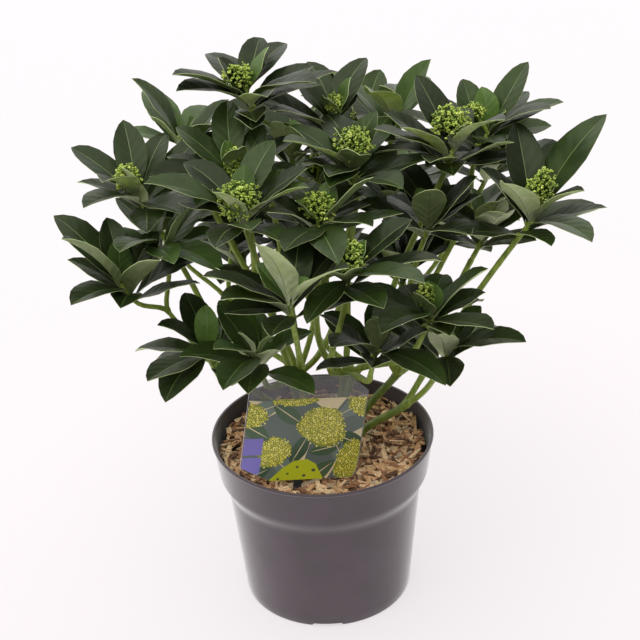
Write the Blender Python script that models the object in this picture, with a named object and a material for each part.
# Potted skimmia: a small evergreen shrub in a round plastic nursery pot.
# Lengths are millimetres times MM, so every value in the scene is in metres, with +Z up.
# The origin is the centre of the pot's flat underside, +X is to the right and -Y is the front.

from collections import namedtuple
from math import cos, pi, radians, sin
from random import Random

import bmesh
import bpy
from mathutils import Matrix, Vector
from mathutils.bvhtree import BVHTree

MM = 0.001
GAP = 0.3 * MM

# Driving dimensions of the pot
POT_HEIGHT = 134 * MM
RIM_RADIUS = 83 * MM
RIM_LOWER_RADIUS = 78.5 * MM
RIM_BAND = 29 * MM
SHOULDER_DROP = 7 * MM
BODY_TOP_RADIUS = 73 * MM
BASE_RADIUS = 63 * MM
BASE_ROUNDING = 4 * MM
WALL = 1.6 * MM
FLOOR = 2.4 * MM
POT_SIDES = 36
SLOT_WIDTH = 23 * MM
SLOT_HEIGHT = 3 * MM
SLOT_BEARINGS = (268, 358, 88, 178)

# The bark mulch that fills the pot
MULCH_TOP = 117 * MM
MULCH_FLAT_RADIUS = 61 * MM
MULCH_ROUGHNESS = 1.6 * MM
MULCH_SIDES = 24
MULCH_SEED = 5

# The plant label: a clear sheet on a narrow stake, which leans back a little towards the stems
LABEL_WIDTH = 92 * MM
LABEL_HEIGHT = 82 * MM
LABEL_THICKNESS = 0.8 * MM
LABEL_FOOT = (-21 * MM, -53 * MM)
LABEL_LEAN = radians(5.5)
LABEL_TURN = radians(20)
LABEL_ROLL = radians(-12)
STAKE_WIDTH = 6 * MM
STAKE_LENGTH = 9 * MM
NOTCH_AT = -9 * MM
NOTCH_WIDTH = 12 * MM
NOTCH_DEPTH = 8 * MM
CORNER_CUT = 12 * MM

# Stems and boughs
STEM_BASE_RADIUS = 3.9 * MM
STEM_RADIUS = 3.1 * MM
FLARE = 1.35
STEM_SIDES = 6
KNOT_RADIUS = 5.5 * MM
KNOT_BELOW = 3.6 * MM
KNOT_ABOVE = 4.0 * MM
BOUGH_RADIUS = 2.25 * MM
BOUGH_TIP_RADIUS = 1.9 * MM
BOUGH_SIDES = 5
BOUGH_RINGS = 7
KNOT_SPREAD = radians(60)
LEAST_CLIMB = 0.45
BOUGH_MARGIN = 0.25 * MM
BOUGH_TRIES = 40
LEAST_BOW = 4 * MM
BOW_STEP = 1 * MM

# Twigs, leaves and flower heads of a mass of foliage
TWIG_FOOT = 10 * MM
FORK_BELOW = 3.4
TWIG_RADIUS = 1.9 * MM
TWIG_SIDES = 5
WHORL_LENGTH = 16 * MM
STALK_RADIUS = 1.2 * MM
FLOWER_DIVISIONS = 1
FLOWER_LUMPS = (0.8, 1.14)
LEAF_LENGTH = 72 * MM
LEAF_WIDTH_SHARE = 0.25
LEAF_WIDTH_LEAST = 9.5 * MM
LEAF_THICKNESS = 1.2 * MM
LEAF_ROOT_HALF = 1.2 * MM
LEAF_STATIONS = (0.26, 0.56, 0.84)
LEAF_SINK = 0.45
LEAF_KEEL = 0.07
LEADING_ROLL = radians(8)
FILL_ROLL = radians(20)
LEAF_MARGIN = 0.5 * MM
LEAF_TRIES = 14
SHORTEST_LEAF = 46 * MM
SEED = 41

# Joining a mass: edges shorter than a sliver close up, and shapes are nudged where a join fails
SLIVER = 0.004 * MM
NUDGE = 0.03 * MM
NUDGES = 12

# Where each main stem leaves the mulch, and the knot where its boughs part, in millimetres
STEMS = {
    "left": ((-17, 10), (-60, -2, 186)),
    "front": ((-8, -12), (-20, -20, 190)),
    "centre": ((8, -2), (18, -6, 186)),
    "right": ((26, 22), (58, 24, 168)),
    "low_right": ((24, 2), (62, -8, 160)),
    "back": ((-6, 26), (-17, 46, 158)),
    "back_right": ((12, 34), (27, 56, 150)),
}

# A shoot: its mass of foliage, its stem, the place of its lowest leaf in millimetres, its flower
# head (width, height, and how far right of and above the shoot's tip), how many leaves fill its
# whorl up, and its leading leaves from the top down, each a bearing and a lift in degrees and a
# length in millimetres
Shoot = namedtuple("Shoot", "mass stem place flower fill leading")

SHOOTS = (
    Shoot("top_left", "back", (-41, 60, 368), (20, 20, -6, 10), 3, (
        (58, 18, 58), (62, 22, 58), (122, 16, 58), (320, 32, 70), (212, 32, 70), (216, 30, 70),
        (282, 38, 64))),
    Shoot("top_middle", "back", (17, 66, 340), (14, 14, 0, 11), 2, (
        (110, 28, 58), (56, 38, 58), (128, 48, 60), (34, 36, 58), (308, 46, 70), (218, 36, 70),
        (260, 26, 60))),
    Shoot("top_middle", "back", (60, 92, 328), (0, 0, 0, 0), 4, (
        (88, 4, 58), (82, 0, 58), (248, 44, 70), (240, 28, 60))),
    Shoot("upper_middle", "centre", (29, 10, 333), (26, 21, -1, 13), 3, (
        (110, 16, 58), (62, 22, 58), (214, 34, 70), (252, 36, 60), (266, 34, 70), (68, 46, 58))),
    Shoot("top_right", "right", (95, 30, 331), (27, 22, -2, 20), 3, (
        (124, 46, 62), (306, 48, 70), (94, 22, 58), (204, 32, 70), (230, 44, 70), (252, 34, 60))),
    Shoot("upper_right", "right", (121, 62, 329), (13, 12, -10, 16), 3, (
        (42, 46, 60), (318, 44, 70), (50, 18, 58), (342, 32, 70), (282, 46, 70))),
    Shoot("upper_right", "right", (128, 84, 294), (0, 0, 0, 0), 4, (
        (98, -16, 58), (60, -10, 58), (234, 28, 60))),
    Shoot("far_right", "low_right", (146, 0, 293), (19, 32, 3, 19), 2, (
        (36, 42, 90), (100, 52, 72), (240, 56, 70), (302, 20, 70), (186, 64, 70), (54, 48, 74),
        (32, -2, 70))),
    Shoot("upper_far_left", "left", (-118, 22, 312), (18, 18, -4, 11), 2, (
        (150, 28, 58), (102, 48, 58), (252, 44, 70), (66, 36, 58), (238, 30, 70), (40, 34, 66),
        (276, 18, 60))),
    Shoot("back_left", "back", (-89, 78, 325), (0, 0, 0, 0), 3, (
        (166, 56, 58), (114, 20, 58), (68, 6, 58), (70, -4, 58), (298, 28, 70), (272, 44, 60))),
    Shoot("mid_left", "front", (-46, -38, 324), (28, 24, -1, 8), 2, (
        (136, 24, 58), (54, 44, 58), (184, 28, 76), (0, 52, 70), (332, 44, 70), (286, 38, 60),
        (252, 22, 60))),
    Shoot("inner_left", "left", (-51, 14, 329), (17, 20, 2, 5), 3, (
        (94, 36, 58), (114, 10, 58), (306, 32, 70), (68, 32, 58))),
    Shoot("middle", "centre", (3, -36, 316), (23, 18, 1, 7), 3, (
        (102, 2, 58), (54, 0, 58), (26, 8, 58), (280, 6, 70), (126, -8, 58), (250, 24, 70))),
    Shoot("mid_front", "centre", (20, -78, 297), (20, 22, 1, 10), 3, (
        (30, 28, 58), (316, 16, 70), (218, 14, 70), (124, 24, 58), (110, 26, 58), (292, 20, 60))),
    Shoot("front", "front", (-17, -95, 287), (0, 0, 0, 0), 2, (
        (238, 62, 70), (318, 42, 70), (202, 34, 70), (66, 48, 64), (52, 42, 64), (106, 12, 58),
        (222, 32, 70))),
    Shoot("far_left", "left", (-128, -30, 270), (0, 0, 0, 0), 2, (
        (146, 38, 68), (220, 52, 70), (118, 50, 58), (242, 20, 70), (66, 16, 58), (302, 46, 70))),
    Shoot("far_left", "left", (-106, 0, 283), (0, 0, 0, 0), 2, (
        (254, 24, 70), (314, 4, 70), (78, -20, 60), (56, -8, 58), (110, 0, 58))),
    Shoot("mid_right", "right", (119, 38, 263), (0, 0, 0, 0), 3, (
        (120, -6, 58), (112, 16, 58), (280, 40, 70), (268, 42, 70), (252, 34, 60))),
    Shoot("inner_right", "right", (78, 2, 292), (0, 0, 0, 0), 2, (
        (86, 8, 58), (62, -2, 58), (114, 4, 58), (110, 36, 58), (270, 56, 60), (294, 24, 70))),
    Shoot("lower_right", "centre", (73, -58, 250), (11, 18, -4, 15), 2, (
        (236, 26, 70), (46, -10, 58), (306, 28, 70), (70, 8, 58), (286, 48, 50), (102, 4, 58))),
    Shoot("low_right", "low_right", (86, -30, 205), (0, 0, 0, 0), 3, (
        (322, 24, 70), (48, -4, 58), (50, 8, 58), (78, -4, 58), (244, 40, 60))),
    Shoot("low_middle", "centre", (37, -52, 221), (0, 0, 0, 0), 3, (
        (310, 2, 70), (238, 32, 70), (68, -14, 58), (104, -10, 70))),
    Shoot("low_left", "left", (-75, -34, 214), (0, 0, 0, 0), 3, (
        (238, 12, 70), (248, 2, 70), (116, -8, 58), (110, 30, 58), (136, -6, 58))),
    Shoot("low_front", "front", (-41, -46, 216), (0, 0, 0, 0), 2, (
        (252, 12, 70), (106, -26, 58), (64, -14, 58), (264, 12, 60), (126, 36, 58), (316, 34, 60))),
    Shoot("rear_left", "back", (-64, 116, 264), (14, 14, -4, 14), 7, ()),
    Shoot("rear_left", "back", (-106, 84, 250), (0, 0, 0, 0), 7, ()),
    Shoot("rear_left", "back", (-52, 92, 214), (0, 0, 0, 0), 6, ()),
    Shoot("rear", "back_right", (4, 128, 262), (16, 16, 2, 14), 7, ()),
    Shoot("rear", "back_right", (-30, 104, 240), (0, 0, 0, 0), 6, ()),
    Shoot("rear", "back_right", (8, 92, 206), (0, 0, 0, 0), 6, ()),
    Shoot("rear_right", "back_right", (60, 120, 256), (16, 15, 4, 14), 7, ()),
    Shoot("rear_right", "back_right", (100, 96, 236), (0, 0, 0, 0), 7, ()),
    Shoot("rear_right", "back_right", (64, 84, 206), (0, 0, 0, 0), 6, ()),
    Shoot("rear_top", "back", (-14, 108, 300), (0, 0, 0, 0), 6, ()),
    Shoot("rear_top", "back", (38, 128, 300), (15, 14, 0, 14), 7, ()),
)

# How far a shoot leans outwards: the share of its distance from the centre
LEAN_REACH = 150
LEAN_SHARE = 0.72

# The leaves that fill a whorl up: how they lift, low and high ones in turn, and their share of
# the full length
FILL_LIFT = (12, 34)
FILL_RAISE = 24
FILL_LENGTH = (0.78, 1.02)

# How far a leaf bends down from root to tip, in degrees: a leading leaf, and one that fills up
LEADING_CURL = (22, 46)
FILL_CURL = (14, 54)

# How much a leaf without room is turned, lifted and shortened for each further try
TRY_TURN = radians(3)
TRY_LIFT = radians(2.4)
TRY_SHORTER = 0.025


# Materials

def linear(hexcolour):
    """The linear colour of an sRGB hex value."""
    channels = [int(hexcolour[i:i + 2], 16) / 255 for i in (1, 3, 5)]
    return [c / 12.92 if c <= 0.04045 else ((c + 0.055) / 1.055) ** 2.4 for c in channels] + [1]


def material(name, hexcolour, roughness):
    """A plain Principled material, all of them non-metals."""
    made = bpy.data.materials.new(name)
    made.use_nodes = True
    made.diffuse_color = linear(hexcolour)
    shader = made.node_tree.nodes["Principled BSDF"]
    shader.inputs["Base Color"].default_value = linear(hexcolour)
    shader.inputs["Roughness"].default_value = roughness
    shader.inputs["Metallic"].default_value = 0
    return made


# Mesh helpers

def new_object(name, bm, finish, smooth_angle=None):
    """A named object from a bmesh, whose faces are turned outwards."""
    bmesh.ops.recalc_face_normals(bm, faces=bm.faces)
    mesh = bpy.data.meshes.new(name)
    bm.to_mesh(mesh)
    bm.free()
    if smooth_angle:
        mesh.shade_smooth()
        mesh.set_sharp_from_angle(angle=smooth_angle)
    mesh.materials.append(finish)
    made = bpy.data.objects.new(name, mesh)
    bpy.context.scene.collection.objects.link(made)
    return made


def bridge(bm, rings, cap_start=True, cap_end=True):
    """Join rings of vertices of equal count; a ring of one vertex closes to a point."""
    if cap_start and len(rings[0]) > 1:
        bm.faces.new(rings[0])
    for lower, upper in zip(rings, rings[1:]):
        count = max(len(lower), len(upper))
        for i in range(count):
            j = (i + 1) % count
            if len(upper) == 1:
                bm.faces.new((lower[i], lower[j], upper[0]))
            elif len(lower) == 1:
                bm.faces.new((lower[0], upper[j], upper[i]))
            else:
                bm.faces.new((lower[i], lower[j], upper[j], upper[i]))
    if cap_end and len(rings[-1]) > 1:
        bm.faces.new(rings[-1])


def across(direction, before):
    """Two unit vectors square to a direction and to each other, turned as little as can be from before."""
    side = (before - direction * before.dot(direction)).normalized()
    return side, side.cross(direction).normalized()


def tube(bm, points, radii, sides, first=None, last=None):
    """A closed tapering tube along points, its flat ends square to the ways given, or to the path."""
    rings = []
    side = Vector((0.8, 0.6, 0.1))
    for i, (point, radius) in enumerate(zip(points, radii)):
        ahead = points[min(i + 1, len(points) - 1)]
        behind = points[max(i - 1, 0)]
        direction = (ahead - behind).normalized()
        if first and i == 0:
            direction = first
        if last and i == len(points) - 1:
            direction = last
        side, up = across(direction, side)
        rings.append([
            bm.verts.new(point + radius * (side * cos(turn) + up * sin(turn)))
            for turn in (2 * pi * k / sides for k in range(sides))
        ])
    bridge(bm, rings)


def bezier(start, pull_start, pull_end, end, count):
    """Points along a cubic curve, ends included."""
    points = []
    for i in range(count):
        t = i / (count - 1)
        s = 1 - t
        points.append(start * s ** 3 + pull_start * 3 * s * s * t + pull_end * 3 * s * t * t + end * t ** 3)
    return points


# Pot, mulch and label

def turned(profile, sides):
    """A solid turned about Z from a closed profile of radius and height pairs."""
    bm = bmesh.new()
    outline = [bm.verts.new((radius, 0, height)) for radius, height in profile]
    edges = [bm.edges.new((outline[i], outline[(i + 1) % len(outline)])) for i in range(len(outline))]
    bmesh.ops.spin(bm, geom=outline + edges, cent=(0, 0, 0), axis=(0, 0, 1), angle=2 * pi,
                   steps=sides, use_merge=True)
    bmesh.ops.remove_doubles(bm, verts=bm.verts, dist=1e-6)
    return bm


def pot_outer(height):
    """The outer radius of the pot's body below its shoulder."""
    return BASE_RADIUS + (BODY_TOP_RADIUS - BASE_RADIUS) * height / (POT_HEIGHT - RIM_BAND - SHOULDER_DROP)


def make_pot(finish):
    band_foot = POT_HEIGHT - RIM_BAND
    shoulder = band_foot - SHOULDER_DROP
    lip = 1.2 * MM
    profile = [
        (0, 0),
        (BASE_RADIUS - BASE_ROUNDING, 0),
        (BASE_RADIUS - BASE_ROUNDING * 0.3, BASE_ROUNDING * 0.3),
        (pot_outer(BASE_ROUNDING), BASE_ROUNDING),
        (BODY_TOP_RADIUS, shoulder),
        (BODY_TOP_RADIUS + 2.2 * MM, shoulder + SHOULDER_DROP * 0.55),
        (RIM_LOWER_RADIUS, band_foot),
        (RIM_RADIUS - lip, POT_HEIGHT - lip),
        (RIM_RADIUS, POT_HEIGHT - lip * 0.6),
        (RIM_RADIUS - lip * 0.4, POT_HEIGHT),
        (RIM_RADIUS - lip - WALL * 0.8, POT_HEIGHT),
        (RIM_LOWER_RADIUS - WALL, band_foot),
        (BODY_TOP_RADIUS - WALL, shoulder - SHOULDER_DROP * 0.4),
        (pot_outer(FLOOR) - WALL, FLOOR),
        (0, FLOOR),
    ]
    bm = turned(profile, POT_SIDES)
    pot = new_object("pot", bm, finish, radians(28))
    for bearing in SLOT_BEARINGS:
        cutter_mesh = bmesh.new()
        bmesh.ops.create_cube(cutter_mesh, size=1)
        place = Matrix.Rotation(radians(bearing), 4, "Z") @ Matrix.Translation((BASE_RADIUS, 0, 0))
        size = Matrix.Diagonal((BASE_ROUNDING * 2.2, SLOT_WIDTH, SLOT_HEIGHT * 2, 1))
        bmesh.ops.transform(cutter_mesh, matrix=place @ size, verts=cutter_mesh.verts)
        cutter = new_object("slot_cutter", cutter_mesh, finish)
        cut = pot.modifiers.new("slot", "BOOLEAN")
        cut.operation = "DIFFERENCE"
        cut.object = cutter
        apply_modifiers(pot)
        discard(cutter)
    return pot


def make_mulch(finish):
    """The mulch's body: clear of the pot by the gap, with a rough upper face."""
    rng = Random(MULCH_SEED)
    band_foot = POT_HEIGHT - RIM_BAND
    shoulder = band_foot - SHOULDER_DROP
    edge_share = (MULCH_TOP - band_foot) / RIM_BAND
    inner_edge = RIM_LOWER_RADIUS - WALL + (RIM_RADIUS - RIM_LOWER_RADIUS) * edge_share
    clear = 1.0 * MM
    profile = [
        (0, FLOOR + GAP),
        (pot_outer(FLOOR) - WALL - clear, FLOOR + GAP),
        (BODY_TOP_RADIUS - WALL - clear, shoulder - SHOULDER_DROP * 0.4),
        (RIM_LOWER_RADIUS - WALL - clear, band_foot + GAP),
        (inner_edge - clear * 1.4, MULCH_TOP - 2 * MM),
        (inner_edge * 0.89, MULCH_TOP),
        (MULCH_FLAT_RADIUS, MULCH_TOP),
        (0, MULCH_TOP),
    ]
    bm = turned(profile, MULCH_SIDES)
    for vert in bm.verts:
        reach = vert.co.xy.length
        if vert.co.z > MULCH_TOP - 1.5 * MM and reach > MULCH_FLAT_RADIUS + MM:
            vert.co.z += rng.uniform(-MULCH_ROUGHNESS, MULCH_ROUGHNESS * 0.5)
    return new_object("bark_mulch", bm, finish)


def label_frame():
    """Turns the label's own X, Y and Z (across, up, out) to where it stands."""
    turn = Matrix.Rotation(LABEL_TURN, 4, "Z") @ Matrix.Rotation(pi / 2 - LABEL_LEAN, 4, "X")
    roll = Matrix.Rotation(LABEL_ROLL, 4, "Z")
    foot = Vector((*LABEL_FOOT, MULCH_TOP + GAP + abs(sin(LABEL_ROLL)) * STAKE_WIDTH / 2))
    return Matrix.Translation(foot) @ turn @ roll


def make_label(finish):
    half = LABEL_WIDTH / 2
    low = STAKE_LENGTH
    high = low + LABEL_HEIGHT
    outline = [
        (-STAKE_WIDTH / 2, 0), (STAKE_WIDTH / 2, 0), (STAKE_WIDTH / 2, low),
        (half - CORNER_CUT * 0.3, low), (half, low + CORNER_CUT * 0.8), (half, high - CORNER_CUT),
        (half - CORNER_CUT * 1.3, high), (NOTCH_AT + NOTCH_WIDTH * 0.3, high),
        (NOTCH_AT, high - NOTCH_DEPTH), (NOTCH_AT - NOTCH_WIDTH * 0.7, high),
        (-half + CORNER_CUT * 0.4, high - CORNER_CUT * 0.2), (-half, high - CORNER_CUT),
        (-half, low + CORNER_CUT), (-half + CORNER_CUT * 1.5, low + CORNER_CUT * 0.3),
        (-STAKE_WIDTH / 2, low),
    ]
    bm = bmesh.new()
    face = bm.faces.new([bm.verts.new((x, y, 0)) for x, y in outline])
    pulled = bmesh.ops.extrude_face_region(bm, geom=[face])
    risen = [item for item in pulled["geom"] if isinstance(item, bmesh.types.BMVert)]
    bmesh.ops.translate(bm, vec=(0, 0, LABEL_THICKNESS), verts=risen)
    bmesh.ops.transform(bm, matrix=label_frame(), verts=bm.verts)
    bmesh.ops.triangulate(bm, faces=[f for f in bm.faces if len(f.verts) > 4])
    return new_object("plant_label", bm, finish)


def apply_modifiers(thing):
    """Put the evaluated mesh in place of a modified one."""
    graph = bpy.context.evaluated_depsgraph_get()
    mesh = bpy.data.meshes.new_from_object(thing.evaluated_get(graph))
    old = thing.data
    thing.modifiers.clear()
    thing.data = mesh
    bpy.data.meshes.remove(old)


def discard(thing):
    mesh = thing.data
    bpy.data.objects.remove(thing)
    bpy.data.meshes.remove(mesh)


# Room: what a new limb, twig or leaf has to keep clear of

class Room:
    """Closed shapes already placed, each with its owner, box and search tree."""

    def __init__(self):
        self.held = []

    def add(self, owner, bm):
        self.held.append((owner, *self.box(bm), BVHTree.FromBMesh(bm)))

    @staticmethod
    def box(bm):
        low = Vector([min(v.co[k] for v in bm.verts) for k in range(3)])
        high = Vector([max(v.co[k] for v in bm.verts) for k in range(3)])
        return low, high

    def clear(self, bm, skip=()):
        """True where a shape meets none of the others, apart from the owners named in skip."""
        low, high = self.box(bm)
        tree = BVHTree.FromBMesh(bm)
        for owner, other_low, other_high, other in self.held:
            if owner in skip:
                continue
            if any(low[k] > other_high[k] or high[k] < other_low[k] for k in range(3)):
                continue
            if tree.overlap(other):
                return False
        return True


# Stems and boughs

def knot_of(stem):
    return Vector(STEMS[stem][1]) * MM


def stem_shape(stem):
    """A main stem from its flat cut on the mulch to the swollen knot where its boughs part."""
    (x, y), _ = STEMS[stem]
    foot = Vector((x * MM, y * MM, MULCH_TOP + GAP))
    knot = knot_of(stem)
    rise = (knot - foot).length
    pull = (knot - foot).normalized() * rise * 0.3
    path = bezier(foot, foot + Vector((0, 0, rise * 0.35)), knot - pull, knot, 6)
    tip = (path[-1] - path[-2]).normalized()
    points = path[:-1] + [knot - tip * KNOT_BELOW, knot + tip * MM, knot + tip * KNOT_ABOVE]
    radii = [STEM_BASE_RADIUS * FLARE]
    radii += [STEM_BASE_RADIUS + (STEM_RADIUS - STEM_BASE_RADIUS) * k / 4 for k in range(1, 5)]
    radii += [KNOT_RADIUS * 0.95, KNOT_RADIUS, KNOT_RADIUS * 0.55]
    bm = bmesh.new()
    tube(bm, points, radii, STEM_SIDES, first=Vector((0, 0, 1)))
    return bm


def shoot_axis(place):
    """A shoot leans outwards, more the further it stands from the centre."""
    flat = Vector((place[0], place[1], 0))
    lean = min(flat.length / LEAN_REACH, 1) * LEAN_SHARE
    return (flat.normalized() * lean + Vector((0, 0, 1))).normalized()


def mass_names():
    names = []
    for shoot in SHOOTS:
        if shoot.mass not in names:
            names.append(shoot.mass)
    return names


def shoots_of(mass):
    return [shoot for shoot in SHOOTS if shoot.mass == mass]


def shoot_foot(shoot):
    return Vector(shoot.place) * MM


def shoot_tip(shoot):
    return shoot_foot(shoot) + shoot_axis(shoot.place) * WHORL_LENGTH


def mass_start(mass):
    """Where a mass's stem begins and which way it grows."""
    shoots = shoots_of(mass)
    if len(shoots) == 1:
        axis = shoot_axis(shoots[0].place)
        return shoot_foot(shoots[0]) - axis * TWIG_FOOT, axis
    middle = sum((shoot_foot(shoot) for shoot in shoots), Vector()) / len(shoots)
    lowest = min(shoot_foot(shoot).z for shoot in shoots)
    axis = (shoot_axis(shoots[0].place) + shoot_axis(shoots[1].place)).normalized()
    start = Vector((middle.x, middle.y, lowest)) - axis * TWIG_FOOT * FORK_BELOW
    return start, axis


def upward(way):
    """A unit direction that climbs by at least LEAST_CLIMB."""
    way = way.normalized()
    if way.z < LEAST_CLIMB:
        flat = Vector((way.x, way.y, 0)).normalized() * (1 - LEAST_CLIMB ** 2) ** 0.5
        way = flat + Vector((0, 0, LEAST_CLIMB))
    return way


def spread_starts(knot, goals):
    """Directions from a knot towards each goal, turned apart until each has its own room."""
    ways = [upward(goal - knot) for goal in goals]
    for _ in range(80):
        for i in range(len(ways)):
            for j in range(i):
                angle = ways[i].angle(ways[j])
                if angle < KNOT_SPREAD:
                    apart = (ways[i] - ways[j]).normalized() * (KNOT_SPREAD - angle) * 0.3
                    ways[i] = upward(ways[i] + apart)
                    ways[j] = upward(ways[j] - apart)
    return ways


def bough_foot(stem, way):
    """Where a bough begins: the gap clear of the furthest corner of its knot."""
    knot = knot_of(stem)
    shape = stem_shape(stem)
    near = [vert.co - knot for vert in shape.verts if (vert.co - knot).length < KNOT_RADIUS * 1.5]
    shape.free()
    return knot + way * (max(corner.dot(way) for corner in near) + GAP)


def bough_shape(start, way, end, axis, bow, margin=0.0):
    """One tapering limb from a knot's side to the flat face where its mass begins."""
    span = (end - start).length
    points = bezier(start, start + way * span * 0.26 + bow, end - axis * span * 0.36 + bow, end, BOUGH_RINGS)
    bm = bmesh.new()
    step = (BOUGH_TIP_RADIUS - BOUGH_RADIUS) / (BOUGH_RINGS - 1)
    radii = [BOUGH_RADIUS + step * i + margin for i in range(BOUGH_RINGS)]
    tube(bm, points, radii, BOUGH_SIDES, first=way, last=axis)
    return bm


def grow_boughs(room):
    """Each bough's shape by its mass's name; one that would touch a limb is bowed aside."""
    shapes = {}
    for stem in STEMS:
        masses = [mass for mass in mass_names() if shoots_of(mass)[0].stem == stem]
        knot = knot_of(stem)
        ends = [mass_start(mass) for mass in masses]
        ways = spread_starts(knot, [end for end, _ in ends])
        for mass, (end, axis), way in zip(masses, ends, ways):
            rng = Random(f"{SEED} bough {mass}")
            start = bough_foot(stem, way)
            bow = Vector()
            for attempt in range(BOUGH_TRIES):
                test = bough_shape(start, way, end - axis * GAP, axis, bow, margin=BOUGH_MARGIN)
                free = room.clear(test)
                test.free()
                if free:
                    break
                bow = Vector([rng.uniform(-1, 1) for _ in range(3)]) * (LEAST_BOW + BOW_STEP * attempt)
            shape = bough_shape(start, way, end - axis * GAP, axis, bow)
            room.add("bough_" + mass, shape)
            shapes[mass] = shape
    return shapes


# Masses of foliage

def flower_place(shoot):
    """The centre of a shoot's flower head, on a stalk above its tip."""
    return shoot_tip(shoot) + Vector((shoot.flower[2], 0, shoot.flower[3])) * MM


def twig_shapes(mass):
    """The mass's stem, with its twigs to the tip of each shoot and the stalk of each flower head."""
    start, axis = mass_start(mass)
    shoots = shoots_of(mass)
    shapes = []
    fork = start + axis * TWIG_FOOT
    if len(shoots) > 1:
        bm = bmesh.new()
        ends = [start, fork + axis * TWIG_RADIUS * 0.6]
        tube(bm, ends, [BOUGH_TIP_RADIUS, TWIG_RADIUS], TWIG_SIDES, first=axis)
        shapes.append(bm)
    for shoot in shoots:
        points = [start]
        if len(shoots) > 1:
            foot = shoot_foot(shoot)
            reach = (foot - fork).length
            lean = shoot_axis(shoot.place)
            points = bezier(fork, fork + axis * reach * 0.3, foot - lean * reach * 0.35, foot, 4)
        points.append(shoot_tip(shoot))
        radii = [TWIG_RADIUS] * len(points)
        if shoot.flower[0]:
            points.append(flower_place(shoot))
            radii.append(STALK_RADIUS)
        bm = bmesh.new()
        tube(bm, points, radii, TWIG_SIDES, first=axis)
        shapes.append(bm)
    return shapes


def flower_shape(shoot, rng):
    """A lumpy head that stands for a panicle of small buds."""
    bm = bmesh.new()
    bmesh.ops.create_icosphere(bm, subdivisions=FLOWER_DIVISIONS, radius=1)
    width, height = (size * MM / 2 for size in shoot.flower[:2])
    for vert in bm.verts:
        vert.co *= rng.uniform(*FLOWER_LUMPS)
    turn = (flower_place(shoot) - shoot_foot(shoot)).to_track_quat("Z", "Y").to_matrix().to_4x4()
    place = Matrix.Translation(flower_place(shoot)) @ turn @ Matrix.Diagonal((width, width, height, 1))
    bmesh.ops.transform(bm, matrix=place, verts=bm.verts)
    return bm


# A leaf: where it starts on its twig, the way it points, how its middle climbs, its length, how
# far it turns on its midrib by its tip, and how far it bends down from root to tip
Leaf = namedtuple("Leaf", "root bearing lift length roll curl")


def leaf_half_width(t):
    """Share of the half width at a share t of the length: widest past the middle, with a short point."""
    return sin(pi * t ** 1.1) ** 0.85


def leaf_shape(leaf, margin=0.0, blade_only=False):
    """A closed three-sided leaf: keeled along its midrib and bent down towards its tip."""
    outward = Vector((cos(leaf.bearing), sin(leaf.bearing), 0))
    side = Vector((-sin(leaf.bearing), cos(leaf.bearing), 0))
    width = LEAF_WIDTH_LEAST + leaf.length * LEAF_WIDTH_SHARE
    stations = (0,) + LEAF_STATIONS + (1,)
    bm = bmesh.new()
    rings = []
    point = leaf.root + outward * LEAF_SINK * TWIG_RADIUS
    for before, t in zip((0,) + stations, stations):
        middle = (before + t) / 2
        slope = leaf.lift + leaf.curl * (0.5 - middle)
        point = point + (outward * cos(slope) + Vector((0, 0, 1)) * sin(slope)) * leaf.length * (t - before)
        here = leaf.lift + leaf.curl * (0.5 - t)
        ahead = outward * cos(here) + Vector((0, 0, 1)) * sin(here)
        turn = Matrix.Rotation(leaf.roll * t, 3, ahead)
        over = turn @ (Vector((0, 0, 1)) * cos(here) - outward * sin(here))
        wing = turn @ side
        if t == 1:
            rings.append([bm.verts.new(point + ahead * margin)])
            continue
        if blade_only and t == 0:
            continue
        half = LEAF_ROOT_HALF if t == 0 else width / 2 * leaf_half_width(t)
        keel = LEAF_THICKNESS + half * LEAF_KEEL + margin
        half += margin
        rings.append([
            bm.verts.new(point + wing * half + over * (LEAF_THICKNESS / 2 + margin)),
            bm.verts.new(point - wing * half + over * (LEAF_THICKNESS / 2 + margin)),
            bm.verts.new(point + over * (LEAF_THICKNESS / 2 - keel)),
        ])
    bridge(bm, rings)
    return bm


def whorl(shoot, rng):
    """Bearing, lift and length of a shoot's leaves: the leading ones, then more in the widest gaps."""
    leaves = [(radians(b), radians(l), size * MM) for b, l, size in shoot.leading]
    bearings = sorted(leaf[0] % (2 * pi) for leaf in leaves) or [rng.uniform(0, 2 * pi)]
    for k in range(shoot.fill):
        gaps = [(nxt - here) % (2 * pi) or 2 * pi for here, nxt in zip(bearings, bearings[1:] + bearings[:1])]
        widest = gaps.index(max(gaps))
        bearing = (bearings[widest] + gaps[widest] * rng.uniform(0.42, 0.58)) % (2 * pi)
        bearings = sorted(bearings + [bearing])
        lift = radians(rng.uniform(*FILL_LIFT) + FILL_RAISE * (k % 2))
        leaves.append((bearing, lift, LEAF_LENGTH * rng.uniform(*FILL_LENGTH)))
    return leaves


def leaf_tries(leaf, rng):
    """The leaf as wanted, then turned, lifted or shortened a little more each time."""
    bearing, lift, length = leaf
    yield bearing, lift, length
    for k in range(1, LEAF_TRIES):
        turn = rng.uniform(-1, 1) * TRY_TURN * k
        raised = rng.uniform(-1, 1) * TRY_LIFT * k
        yield bearing + turn, lift + raised, max(length * (1 - TRY_SHORTER * k), SHORTEST_LEAF)


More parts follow.
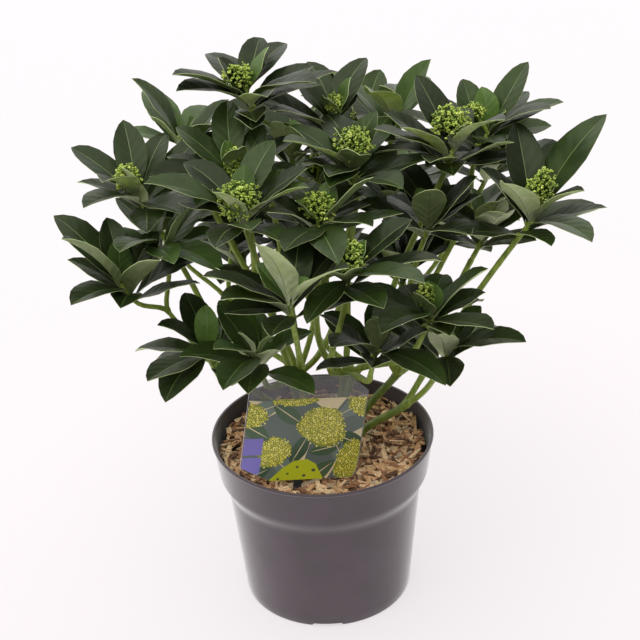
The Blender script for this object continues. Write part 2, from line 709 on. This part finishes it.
def grow_leaves(room):
    """The leaves of each mass, as shapes; a leaf that finds no room is skipped."""
    grown = {mass: [] for mass in mass_names()}
    blades = {mass: Room() for mass in mass_names()}
    plans = []
    for number, shoot in enumerate(SHOOTS):
        rng = Random(f"{SEED} leaves {number}")
        plans.append((shoot, rng, whorl(shoot, rng)))
    for order in range(max(len(plan[2]) for plan in plans)):
        for shoot, rng, leaves in plans:
            if order >= len(leaves):
                continue
            own = "foliage_" + shoot.mass
            down = order / max(len(leaves) - 1, 1)
            root = shoot_tip(shoot) - shoot_axis(shoot.place) * WHORL_LENGTH * down
            leads = order < len(shoot.leading)
            most = LEADING_ROLL if leads else FILL_ROLL
            roll = rng.uniform(-most, most)
            curl = radians(rng.uniform(*(LEADING_CURL if leads else FILL_CURL)))
            for bearing, lift, length in leaf_tries(leaves[order], rng):
                leaf = Leaf(root, bearing, lift, length, roll, curl)
                fat = leaf_shape(leaf, margin=LEAF_MARGIN)
                blade = leaf_shape(leaf, margin=LEAF_MARGIN, blade_only=True)
                if room.clear(fat, skip=(own,)) and blades[shoot.mass].clear(blade):
                    shape = leaf_shape(leaf)
                    grown[shoot.mass].append(shape)
                    room.add(own, shape)
                    blades[shoot.mass].add(own, blade)
                    fat.free()
                    blade.free()
                    break
                fat.free()
                blade.free()
    return grown


def islands_of(bm):
    """The faces of each separate skin."""
    bm.faces.ensure_lookup_table()
    seen = set()
    islands = []
    for start in bm.faces:
        if start.index in seen:
            continue
        seen.add(start.index)
        stack = [start]
        faces = []
        while stack:
            face = stack.pop()
            faces.append(face)
            for edge in face.edges:
                for other in edge.link_faces:
                    if other.index not in seen:
                        seen.add(other.index)
                        stack.append(other)
        islands.append(faces)
    return islands


def drop_doubled_faces(bm):
    """Take away each pair of faces that lie back to back on the same corners."""
    single = {}
    for face in list(bm.faces):
        corners = frozenset(face.verts)
        if corners in single:
            bm.faces.remove(face)
            bm.faces.remove(single.pop(corners))
        else:
            single[corners] = face


def flip_shared_diagonals(bm):
    """Where two flat faces were cut along the same pair of corners, cut one of them the other way."""
    for edge in [edge for edge in bm.edges if len(edge.link_faces) == 4]:
        if not edge.is_valid:
            continue
        faces = list(edge.link_faces)
        pairs = [(a, b) for i, a in enumerate(faces) for b in faces[:i]]
        for one, two in sorted(pairs, key=lambda pair: -pair[0].normal.dot(pair[1].normal)):
            start, end = edge.verts
            apex = next(v for v in one.verts if v not in edge.verts)
            other = next(v for v in two.verts if v not in edge.verts)
            normal = one.normal.copy()
            loop = [start, apex, end, other]
            turns = [
                (loop[k].co - loop[k - 1].co).cross(loop[(k + 1) % 4].co - loop[k].co).dot(normal)
                for k in range(4)
            ]
            if not (all(t > 0 for t in turns) or all(t < 0 for t in turns)):
                continue
            if bm.edges.get((apex, other)):
                continue
            bm.faces.remove(one)
            bm.faces.remove(two)
            for corners in ((start, apex, other), (apex, end, other)):
                face = bm.faces.new(corners)
                face.normal_update()
                if face.normal.dot(normal) < 0:
                    face.normal_flip()
            break


def close_skin(mesh):
    """Mend a fused mesh; sealed hollows are filled and loose scraps dropped. True where it is closed."""
    bm = bmesh.new()
    bm.from_mesh(mesh)
    bmesh.ops.remove_doubles(bm, verts=bm.verts, dist=SLIVER)
    bmesh.ops.dissolve_degenerate(bm, dist=SLIVER, edges=bm.edges)
    bmesh.ops.triangulate(bm, faces=bm.faces)
    drop_doubled_faces(bm)
    flip_shared_diagonals(bm)
    for faces in sorted(islands_of(bm), key=len)[:-1]:
        bmesh.ops.delete(bm, geom=faces, context="FACES")
    bmesh.ops.delete(bm, geom=[edge for edge in bm.edges if not edge.link_faces], context="EDGES")
    bmesh.ops.delete(bm, geom=[vert for vert in bm.verts if not vert.link_faces], context="VERTS")
    bmesh.ops.recalc_face_normals(bm, faces=bm.faces)
    bm.to_mesh(mesh)
    closed = len(bm.faces) > 0 and all(edge.is_manifold and edge.is_contiguous for edge in bm.edges)
    bm.free()
    return closed


def union(name, shapes, finish, solver):
    """One Boolean union of a twig with the collection of shapes that stand on it."""
    parts = bpy.data.collections.new(name + "_parts")
    bpy.context.scene.collection.children.link(parts)
    for shape in shapes[1:]:
        piece = new_object("piece", shape.copy(), finish)
        bpy.context.scene.collection.objects.unlink(piece)
        parts.objects.link(piece)
    body = new_object(name, shapes[0].copy(), finish)
    join = body.modifiers.new("join", "BOOLEAN")
    join.operation = "UNION"
    join.operand_type = "COLLECTION"
    join.collection = parts
    join.solver = solver
    apply_modifiers(body)
    for piece in list(parts.objects):
        discard(piece)
    bpy.data.collections.remove(parts)
    return body


def fuse(name, shapes, finish):
    """A mass as one closed body; where neither solver closes it, its shapes are nudged by a hair."""
    rng = Random(f"{SEED} {name}")
    for _ in range(NUDGES):
        for solver in ("EXACT", "MANIFOLD"):
            body = union(name, shapes, finish, solver)
            if close_skin(body.data):
                return body
            discard(body)
        for shape in shapes:
            hair = [rng.uniform(-NUDGE, NUDGE) for _ in range(3)]
            bmesh.ops.translate(shape, vec=hair, verts=shape.verts)
    raise RuntimeError(name + " has no closed body")


def main():
    for thing in list(bpy.data.objects):
        bpy.data.objects.remove(thing)
    plastic = material("grey_moulded_plastic", "#5d585c", 0.42)
    mulch = material("pine_bark_mulch", "#8a6342", 0.9)
    sheet = material("printed_clear_sheet", "#8d8f6c", 0.3)
    bark = material("green_stem_bark", "#7f9a45", 0.55)
    leaf = material("evergreen_leaf", "#35472f", 0.4)

    room = Room()
    for fixed in (make_pot(plastic), make_mulch(mulch), make_label(sheet)):
        bm = bmesh.new()
        bm.from_mesh(fixed.data)
        room.add(fixed.name, bm)
        bm.free()
    for stem in STEMS:
        shape = stem_shape(stem)
        room.add("stem_" + stem, shape)
        new_object("stem_" + stem, shape, bark, radians(50))
    boughs = grow_boughs(room)
    for mass, shape in boughs.items():
        new_object("bough_" + mass, shape, bark, radians(50))

    twigs = {}
    for mass in mass_names():
        rng = Random(f"{SEED} flowers {mass}")
        twigs[mass] = twig_shapes(mass)
        twigs[mass] += [flower_shape(shoot, rng) for shoot in shoots_of(mass) if shoot.flower[0]]
        for shape in twigs[mass]:
            room.add("foliage_" + mass, shape)
    leaves = grow_leaves(room)
    for mass in mass_names():
        fuse("foliage_" + mass, twigs[mass] + leaves[mass], leaf)
    print("leaves", sum(len(shapes) for shapes in leaves.values()), "masses", len(mass_names()))


main()
